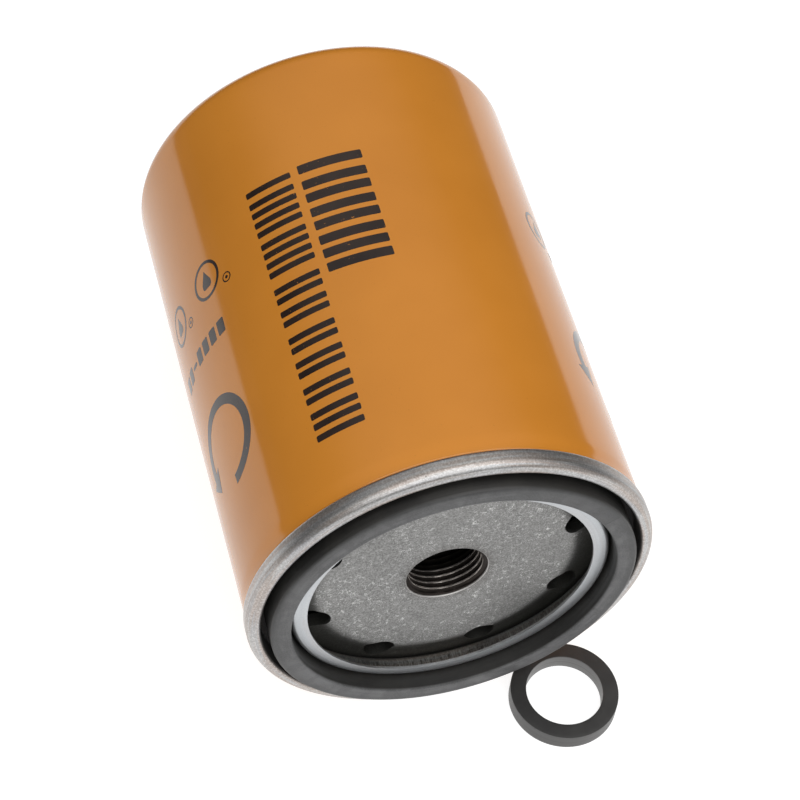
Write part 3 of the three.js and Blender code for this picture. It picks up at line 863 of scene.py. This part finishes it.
def rib(bm, degrees, width, height, start, end):
    """Adds one raised bar to the wall of the recess, sloped off at both ends."""
    wall = CHANNEL_WALL - LID_GAUGE / 2
    half = width / 2 / wall
    rows = []
    for depth, out in ((start, 0), (start + RIB_FRONT_SLOPE, 1), (end - RIB_BACK_SLOPE, 1), (end, 0)):
        row = []
        for turn_by, rise in ((-half, 0), (-half * RIB_CREST, 1), (half * RIB_CREST, 1), (half, 0)):
            lift = height * rise * out - RIB_SINK
            row.append(bm.verts.new(on_filter(wall - lift, radians(degrees) + turn_by, depth)))
        rows.append(row)
    bridge(bm, rows, loop=False)
    rim = rows[0] + [row[-1] for row in rows[1:-1]] + rows[-1][::-1] + [row[0] for row in rows[-2:0:-1]]
    under = [bm.verts.new(vert.co + outward(vert.co) * RIB_THICK * MM) for vert in rim]
    bridge(bm, [rim, under])
    bm.faces.new(under)


def rolled_lid(steel):
    mid = LID_GAUGE / 2
    lip = LIP_DEPTH + mid
    bottom = LID_BACK - mid
    face = RIM_FRONT + RIM_RELIEF + mid
    line = [
        (LIP_INNER, lip),
        (CHANNEL_WALL, lip, LIP_BEND),
        (CHANNEL_WALL, bottom, CHANNEL_BEND),
        (CHUCK, bottom, CHANNEL_BEND),
        (CHUCK, face, CHUCK_BEND),
        (CURL, face + SEAM_FACE_FALL, CURL_BEND),
        (CURL, SEAM_END - mid, LID_HOOK_BEND),
        (LID_HOOK, SEAM_END - mid, LID_HOOK_BEND),
        (LID_HOOK, LID_HOOK_END),
    ]

    def shift(radius, angle, depth):
        if radius < LIP_INNER + 0.05:
            near = max(cos(angle - radians(LIP_WIDE_SIDE)), 0)
            radius += LIP_RIPPLE * ripple(angle, LIP_RIPPLE_RATE, depth) + LIP_UNEVEN * near**3
        if radius > CAN_RADIUS:
            radius -= RIM_WAVE + RIM_WAVE * ripple(angle, RIM_WAVE_RATE)
        return radius, depth

    bm = turned(sheet(line, LID_GAUGE, steps=8), 2 * OUTER_SEGMENTS, shift=shift)
    draw = random.Random(3)
    count = round(TAU * CHANNEL_WALL / RIB_PITCH)
    for k in range(count):
        width = RIB_PITCH * draw.uniform(0.25, 0.5)
        height = RIB_HEIGHT * draw.uniform(0.5, 1.0)
        start = RIB_START + draw.uniform(0, 0.3)
        end = RIB_END + draw.uniform(-0.5, 0.1)
        if draw.random() < RIB_CHANCE:
            rib(bm, 360 * (k + draw.uniform(-0.15, 0.15)) / count, width, height, start, end)
    piece("rolled_lid", bm, steel, "housing", ["seaming_lid"])


def thread_radius(angle, depth):
    """The bore's radius: a right-hand thread with flat crests and roots, and a chamfer at each mouth."""
    turns = depth / THREAD_PITCH + angle / TAU
    wave = abs(2 * (turns - floor(turns)) - 1)
    height = held((wave - THREAD_CREST) / THREAD_FLANK)
    minor = THREAD_RADIUS - THREAD_HEIGHT
    from_mouth = min(depth - PLATE_FRONT, NECK_END - depth)
    return max(minor + THREAD_HEIGHT * height, MOUTH_RADIUS - max(from_mouth - MOUTH_CHAMFER, 0))


def threaded_plate(steel):
    flange = PLATE_FRONT + PLATE_RISE
    back = PLATE_FRONT + PLATE_GAUGE
    line = [
        (MOUTH_RADIUS, NECK_END, MOUTH_CHAMFER),
        (NECK_RADIUS, NECK_END, PLATE_EDGE),
        (NECK_RADIUS, back, NECK_FOOT_BEND),
        (PLATE_CENTRE, back, PLATE_BEND),
        (TROUGH_INNER, flange + PLATE_GAUGE, PLATE_BEND),
        (PLATE_RADIUS, flange + PLATE_GAUGE, PLATE_EDGE),
        (PLATE_RADIUS, flange, PLATE_FRONT_EDGE),
        (TROUGH_INNER, flange, PLATE_FRONT_BEND),
        (PLATE_CENTRE, PLATE_FRONT, PLATE_FRONT_BEND),
        (MOUTH_RADIUS, PLATE_FRONT, MOUTH_CHAMFER),
    ]
    outline = rounded(line, closed=True, steps=8, longest=4.0)
    within = MOUTH_RADIUS + 1e-4
    rows = round((NECK_END - PLATE_FRONT - 2 * THREAD_RUN_OUT) / THREAD_PITCH * THREAD_ROWS)
    first, last = PLATE_FRONT + THREAD_RUN_OUT, NECK_END - THREAD_RUN_OUT
    outline = [p for p in outline if p.x > within or not first < p.y < last]
    outline += [Vector((MOUTH_RADIUS, first + (last - first) * k / rows)) for k in range(rows + 1)]

    def shift(radius, angle, depth):
        return thread_radius(angle, depth) if radius < within and first <= depth <= last else radius, depth

    bm = turned(outline, PLATE_SEGMENTS, shift=shift)
    tools = bmesh.new()
    start, end = INLET_CUT
    for k in range(INLET_COUNT):
        place = about(INLET_PITCH, FIRST_INLET + 360 / INLET_COUNT * k)
        hole = rounded([(0, start), (INLET_RADIUS, start), (INLET_RADIUS, end), (0, end)])
        turn(tools, hole, INLET_SEGMENTS, place)
    bm = cut(bm, tools)
    piece("threaded_plate", bm, steel, "housing", ["base_plate"], sharp=30)


def small_housing_pieces(plate_steel):
    inner = CHUCK + COMPOUND_GAP
    outline = ring_outline(inner, COMPOUND_RADIUS, COMPOUND_START, COMPOUND_END, COMPOUND_EDGE)
    bm = turned(outline, INNER_SEGMENTS)
    piece("seam_sealing_bead", bm, sealing_compound(), "housing", ["seam_compound"])
    front, rear = WELD_EDGES
    for k in range(INLET_COUNT):
        node = f"spot_weld_{k + 1}"
        start, end = (corner.y / MM - FACE_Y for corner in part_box(node))
        outline = [(0, start), (WELD_RADIUS, start, front), (WELD_RADIUS, end, rear), (0, end)]
        place = about(WELD_PITCH, FIRST_INLET + 360 / INLET_COUNT * (k + 0.5))
        bm = turned(rounded(outline), SMALL_SEGMENTS, place)
        piece(f"weld_nugget_{k + 1}", bm, plate_steel, "housing", [node])


def gasket():
    inner = GASKET_RADIUS - GASKET_WIDTH
    corners = [
        (inner, 0, GASKET_INNER_EDGE),
        (GASKET_RADIUS, 0, GASKET_OUTER_EDGE),
        (GASKET_RADIUS, GASKET_DEPTH, GASKET_BACK_EDGE),
        (inner, GASKET_DEPTH, GASKET_BACK_EDGE),
    ]
    outline = rounded(corners, closed=True, steps=7, longest=0.8)

    def shift(radius, angle, depth):
        if depth < 0.5:
            depth += GASKET_WAVE + GASKET_WAVE * ripple(angle, GASKET_WAVE_RATE, radius / GASKET_WAVE_WIDTH)
        return radius, depth

    bm = turned(outline, OUTER_SEGMENTS, shift=shift)
    piece("thick_gasket", bm, gasket_rubber(), "housing", ["outer_gasket"])


def loose_ring():
    centre = (RING_LOW + RING_HIGH) / 2
    outer = (RING_HIGH.x - RING_LOW.x) / 2

    def place(radius, angle, height):
        x, y = centre.x + radius * cos(angle), centre.y + radius * sin(angle)
        return Vector((x, y, height)) * MM

    outline = ring_outline(RING_BORE, outer, 0, RING_HIGH.z, RING_EDGE, longest=1.0)
    bm = turned(outline, RING_SEGMENTS, place)
    piece("loose_seal_ring", bm, loose_seal_rubber(), "loose_seal", ["loose_inner_seal"])


# ---- printing


def skin(bm, first):
    """Makes the open faces from index first on into a closed skin that reaches into the wall."""
    bm.faces.ensure_lookup_table()
    faces = bm.faces[first:]
    under = {}
    for face in faces:
        for vert in face.verts:
            if vert not in under:
                under[vert] = bm.verts.new(vert.co - outward(vert.co) * INK_SINK * MM)
    edges = [edge for face in faces for edge in face.edges if len(edge.link_faces) == 1]
    for face in faces:
        bm.faces.new([under[vert] for vert in reversed(face.verts)])
    for edge in edges:
        a, b = edge.verts
        bm.faces.new((a, under[a], under[b], b))


def ink_vert(bm, degrees, depth, around, along):
    """Adds a point of a mark, just above the wall: around and along are from the mark's middle."""
    angle = radians(degrees) + around / CAN_RADIUS
    return bm.verts.new(on_filter(wall_radius(angle, depth + along) + INK, angle, depth + along))


def printed(bm, rows, degrees, depth, loop=True):
    """Adds a mark made of rows of (around, along) points."""
    first = len(bm.faces)
    bridge(bm, [[ink_vert(bm, degrees, depth, *point) for point in row] for row in rows], loop)
    skin(bm, first)


def closed_mark(bm, outline, degrees, depth, rows=6):
    """Adds a filled mark with the given outline."""
    first = len(bm.faces)
    middle = sum(outline, Vector((0, 0))) / len(outline)

    def vert(p):
        return ink_vert(bm, degrees, depth, p.x, p.y)

    grid = [[vert(middle + (p - middle) * (1 - k / rows)) for p in outline] for k in range(rows)]
    bridge(bm, grid)
    centre = vert(middle)
    for k, here in enumerate(grid[-1]):
        bm.faces.new((here, grid[-1][(k + 1) % len(outline)], centre))
    skin(bm, first)


def block(bm, degrees, depth, around, along, corner=0.35):
    """Adds a printed rectangle with slightly rounded corners."""
    a, b = around / 2, along / 2
    corners = [(-a, -b, corner), (a, -b, corner), (a, b, corner), (-a, b, corner)]
    closed_mark(bm, rounded(corners, closed=True, steps=3, longest=0.8), degrees, depth)


def arc_band(bm, degrees, depth, radius, width, start=0.0, sweep=360.0):
    """Adds a printed ring, or an arc of one."""
    steps = max(round(sweep / 6), 3)
    loop = sweep == 360
    angles = [radians(start + sweep * k / steps) for k in range(steps if loop else steps + 1)]
    rows = []
    for k in range(3):
        r = radius + width * (0.5 - k / 2)
        rows.append([(r * cos(a), r * sin(a)) for a in angles])
    printed(bm, rows, degrees, depth, loop)


def drop_outline(radius):
    """A plain drop with its tip towards the closed end."""
    corners = [(-radius, 0), (-radius, -radius, radius), (radius, -radius, radius), (radius, 0)]
    side = radius * 0.45
    tip = [(side, radius), (0, radius * 1.9), (-side, radius)]
    return rounded(corners, steps=8) + [Vector(p) for p in tip]


def paired_bars(bm, degrees, first, height, widths, gap, stroke):
    """Adds pairs of plain bars round the can, from the closed end on, in place of a line of print."""
    depth = first
    for width in widths:
        for middle in (depth - stroke / 2, depth - width + stroke / 2):
            block(bm, degrees, middle, height, stroke)
        depth -= width + gap


def round_mark(bm, degrees, depth):
    """Adds a drop in a ring, with a small ringed dot beside it."""
    arc_band(bm, degrees, depth, radius=4.6, width=0.8)
    closed_mark(bm, drop_outline(1.7), degrees, depth - 0.6)
    beside, lower = degrees - 8.3, depth - 4.2
    arc_band(bm, beside, lower, radius=1.2, width=0.32)
    r, turns = 0.45, [TAU * k / 16 for k in range(16)]
    closed_mark(bm, [Vector((r * cos(a), r * sin(a))) for a in turns], beside, lower, rows=2)


def turn_arrow(bm, degrees, depth, radius):
    """Adds a plain arrow that goes round, such as shows which way to tighten."""
    start = -20
    arc_band(bm, degrees, depth, radius, width=2.6, start=start, sweep=285)
    tip = divided([Vector((0, -4.2)), Vector((3.4, 1.2)), Vector((-3.4, 1.2))], 0.6, closed=True)
    end = radians(start)
    at = Vector((radius * cos(end), radius * sin(end)))
    tilt = Matrix.Rotation(end, 2)
    closed_mark(bm, [at + tilt @ p for p in tip], degrees, depth)


def printing():
    wide, narrow, drops, code, arrows = (bmesh.new() for _ in range(5))
    paired_bars(wide, 101.4, first=95.7, height=15.4, widths=(7.4, 7.0, 7.0, 6.6), gap=1.35, stroke=2.6)
    widths = (5.2, 4.6, 5.4, 4.6, 6.6, 5.4, 6.6, 5.8, 6.2, 5.8, 4.8)
    paired_bars(narrow, 120.4, first=95.0, height=11.8, widths=widths, gap=1.1, stroke=1.7)
    for degrees in (149.6, 170.7, 31.0):
        round_mark(drops, degrees, depth=82.4)
    for k in range(7):
        block(code, 148.6 + 4.6 * k, depth=68.0, around=2.7, along=1.0 if k == 4 else 4.0)
    for degrees in (161.5, 22.0):
        turn_arrow(arrows, degrees, depth=42.0, radius=10.5)
    ink = print_ink()
    for name, bm in (
        ("printed_wide_bars", wide),
        ("printed_narrow_bars", narrow),
        ("printed_drop_marks", drops),
        ("printed_code_blocks", code),
        ("printed_turn_arrows", arrows),
    ):
        piece(name, bm, ink, "housing")


# ---- element


def caps(steel, dark_steel):
    mid = CAP_GAUGE / 2
    disc = TOP_CAP_START + mid
    line = [(CAP_BORE, disc), (TOP_CAP_RADIUS - mid, disc, CAP_BEND), (TOP_CAP_RADIUS - mid, TOP_CAP_END)]
    bm = turned(sheet(line, CAP_GAUGE), INNER_SEGMENTS)
    piece("mounting_end_cap", bm, dark_steel, "element", ["element_top_cap"])
    boss = BOTTOM_CAP_END - mid
    disc = boss - BOSS_HEIGHT
    line = [
        (BOTTOM_CAP_RADIUS - mid, BOTTOM_CAP_START),
        (BOTTOM_CAP_RADIUS - mid, disc, CAP_BEND),
        (BOSS_RADIUS - mid, disc, BOSS_BEND),
        (BOSS_RADIUS - mid - BOSS_TAPER, boss, BOSS_BEND),
        (0, boss),
    ]
    bm = turned(sheet(line, CAP_GAUGE), INNER_SEGMENTS)
    piece("closed_end_cap", bm, steel, "element", ["element_bottom_cap"])


def grommet():
    inner = GROMMET_RADIUS - GROMMET_WIDTH
    outline = ring_outline(inner, GROMMET_RADIUS, GROMMET_START, GROMMET_END, GROMMET_EDGE)
    bm = turned(outline, INNER_SEGMENTS)
    piece("neck_grommet", bm, grommet_rubber(), "element", ["element_grommet"])


def glue_discs():
    glue = potting_glue()
    for name, node, start, end in (
        ("mounting_end_glue", "top_adhesive", TOP_GLUE_START, TOP_GLUE_END),
        ("closed_end_glue", "bottom_adhesive", BOTTOM_GLUE_START, BOTTOM_GLUE_END),
    ):
        outline = ring_outline(TUBE_RADIUS + GAP, GLUE_RADIUS, start, end, GLUE_EDGE, longest=3)
        piece(name, turned(outline, INNER_SEGMENTS), glue, "element", [node])


def centre_tube(steel):
    inner = TUBE_RADIUS - TUBE_WALL
    outline = ring_outline(inner, TUBE_RADIUS, TUBE_START, TUBE_END, TUBE_EDGE, longest=6)
    bm = turned(outline, INNER_SEGMENTS)
    tools = bmesh.new()
    step = (MEDIA_END - MEDIA_START) / TUBE_ROWS
    drill = {"radius1": TUBE_HOLE_RADIUS * MM, "radius2": TUBE_HOLE_RADIUS * MM, "depth": TUBE_RADIUS * MM}
    for row in range(TUBE_ROWS):
        depth = MEDIA_START + (row + 0.5) * step
        for k in range(TUBE_HOLES):
            angle = TAU * (k + (row % 2) / 2) / TUBE_HOLES
            out = Vector((cos(angle), 0, sin(angle)))
            centre = on_filter(TUBE_RADIUS, angle, depth)
            matrix = Matrix.Translation(centre) @ out.to_track_quat("Z", "Y").to_matrix().to_4x4()
            bmesh.ops.create_cone(tools, cap_ends=True, segments=SMALL_SEGMENTS, matrix=matrix, **drill)
    piece("perforated_tube", cut(bm, tools), steel, "element", ["centre_tube"])


def fold_point(radius, angle, sideways):
    """A point at a radius and an angle, moved sideways, in x and z from the axis."""
    return (
        radius * cos(angle) - sideways * sin(angle),
        radius * sin(angle) + sideways * cos(angle),
    )


def paper_and_clip(steel):
    half = pi / PLEATS
    inner = TUBE_RADIUS + MEDIA_TO_TUBE + PAPER / 2
    outer = MEDIA_RADIUS - PAPER / 2
    gap = (GAP + PAPER) / 2
    corners = [fold_point(MEDIA_RADIUS, 0, gap)]
    for fold in range(PLEATS):
        root = 2 * half * fold + half
        corners += [(*fold_point(inner, root, side * FOLD_HALF), FOLD_BEND) for side in (-1, 1)]
        if fold < PLEATS - 1:
            corners += [(*fold_point(outer, root + half, side * FOLD_HALF), FOLD_BEND) for side in (-1, 1)]
    corners.append(fold_point(MEDIA_RADIUS, 0, -gap))
    bm = bmesh.new()
    strip(bm, rounded(corners, steps=4), PAPER, MEDIA_START, MEDIA_END, steps=8)
    piece("pleated_paper", bm, filter_paper(), "element", ["pleated_media"])

    end = Vector(fold_point(MEDIA_RADIUS, 0, gap))
    inward = (Vector(fold_point(inner, half, -FOLD_HALF)) - end).normalized()
    sideways = Vector((inward.y, -inward.x))
    leg = end + inward * CLIP_DEPTH + sideways * ((PAPER + CLIP_GAUGE) / 2 + GAP)
    back = MEDIA_RADIUS + 0.3 + CLIP_GAUGE / 2
    back_half = leg.y + (back - leg.x) * inward.y / inward.x
    line = [(leg.x, -leg.y), (back, -back_half, CLIP_BEND), (back, back_half, CLIP_BEND), (leg.x, leg.y)]
    bm = bmesh.new()
    strip(bm, rounded(line), CLIP_GAUGE, MEDIA_START, MEDIA_END, steps=4)
    piece("paper_clip_strip", bm, steel, "element", ["media_seam_clip"])


def spring():
    steps = round(SPRING_TURNS * COIL_STEPS)
    route = []
    for k in range(steps + 1):
        turns = SPRING_TURNS * k / steps
        rise = held((turns - 0.5) / (SPRING_TURNS - 1))
        depth = SPRING_START + SPRING_WIRE + (SPRING_END - SPRING_START - 2 * SPRING_WIRE) * rise
        angle = turns * TAU
        out = Vector((cos(angle), 0, sin(angle)))
        route.append((on_filter(SPRING_RADIUS, angle, depth), out))
    bm = bmesh.new()
    wire(bm, route, SPRING_WIRE * MM, WIRE_SIDES)
    coil = piece("coil_spring", bm, spring_steel(), "housing", ["element_spring"])
    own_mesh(coil)


# ---- studio


def studio():
    """A table whose top glows white in a pool round the filter, a painted pool of light that fades to dim
    beyond, under a large soft light, in a room that is dim low down and grey overhead.
    """
    scene = bpy.context.scene
    scene.view_settings.view_transform = "Standard"

    bm = bmesh.new()
    bmesh.ops.create_grid(bm, x_segments=1, y_segments=1, size=TABLE_HALF)
    table = in_scene("white_table", bm)
    f = Finish("white_table_top", Roughness=0.9, Specular_IOR_Level=0.0)
    across = f.math("POWER", f.math("SUBTRACT", f.part("X"), TABLE_GLOW_MIDDLE), 2.0)
    along = f.math("POWER", f.part("Y"), 2.0)
    out = f.math("SQRT", f.math("ADD", across, along))
    # the table top glows though it is no lamp: a painted pool of light round the filter, dim beyond
    glow = f.between(out, TABLE_GLOW_INNER, TABLE_GLOW_OUTER, 1.0, TABLE_FAR)
    tint = f.mix(glow, (0.0, 0.0, 0.0), (TABLE_WHITE,) * 3)
    shine = f.times(glow, TABLE_GLOW)
    white = (1.0, 1.0, 1.0, 1.0)
    table.data.materials.append(f.done(Base_Color=tint, Emission_Color=white, Emission_Strength=shine))

    light = bpy.data.lights.new("soft_box", "AREA")
    light.shape = "SQUARE"
    light.size = SOFT_BOX_SIDE
    light.energy = SOFT_BOX_POWER
    lamp = bpy.data.objects.new("soft_box", light)
    lamp.location = SOFT_BOX_PLACE
    lamp.rotation_mode = "QUATERNION"
    lamp.rotation_quaternion = (Vector(SOFT_BOX_AIM) - Vector(SOFT_BOX_PLACE)).to_track_quat("-Z", "Y")
    scene.collection.objects.link(lamp)

    world = bpy.data.worlds.new("dim_room")
    world.use_nodes = True
    scene.world = world
    tree = world.node_tree
    where = tree.nodes.new("ShaderNodeTexCoord")
    split = tree.nodes.new("ShaderNodeSeparateXYZ")
    ramp = tree.nodes.new("ShaderNodeMapRange")
    ramp.interpolation_type = "SMOOTHSTEP"
    for key, value in zip(("From Min", "From Max", "To Min", "To Max"), (*ROOM_RISE, ROOM_LOW, ROOM_HIGH)):
        ramp.inputs[key].default_value = value
    tree.links.new(where.outputs["Generated"], split.inputs[0])
    tree.links.new(split.outputs["Z"], ramp.inputs["Value"])
    tree.links.new(ramp.outputs[0], tree.nodes["Background"].inputs["Strength"])
    tree.nodes["Background"].inputs["Color"].default_value = ROOM_COLOUR


def camera():
    azimuth, elevation, roll = (radians(a) for a in (CAMERA_AZIMUTH, CAMERA_ELEVATION, CAMERA_ROLL))
    flat = cos(elevation)
    forward = Vector((-sin(azimuth) * flat, cos(azimuth) * flat, -sin(elevation)))
    level = Vector((cos(azimuth), sin(azimuth), 0))
    above = level.cross(forward)
    right = level * cos(roll) + above * sin(roll)
    up = above * cos(roll) - level * sin(roll)
    data = bpy.data.cameras.new("camera")
    data.lens = CAMERA_LENS
    data.sensor_width = CAMERA_SENSOR
    made = bpy.data.objects.new("camera", data)
    bpy.context.scene.collection.objects.link(made)
    turned_to = Matrix((right, up, -forward)).transposed().to_4x4()
    made.matrix_world = Matrix.Translation(CAMERA_PLACE) @ turned_to
    bpy.context.scene.camera = made


# ---- all of it


camera()
studio()
bright = bare_steel()
sanded = grey_steel()
tin = tinplate()
can_body()
rolled_lid(bright)
threaded_plate(sanded)
small_housing_pieces(sanded)
gasket()
loose_ring()
printing()
caps(tin, dark_cap_steel())
grommet()
glue_discs()
centre_tube(tin)
paper_and_clip(tin)
spring()
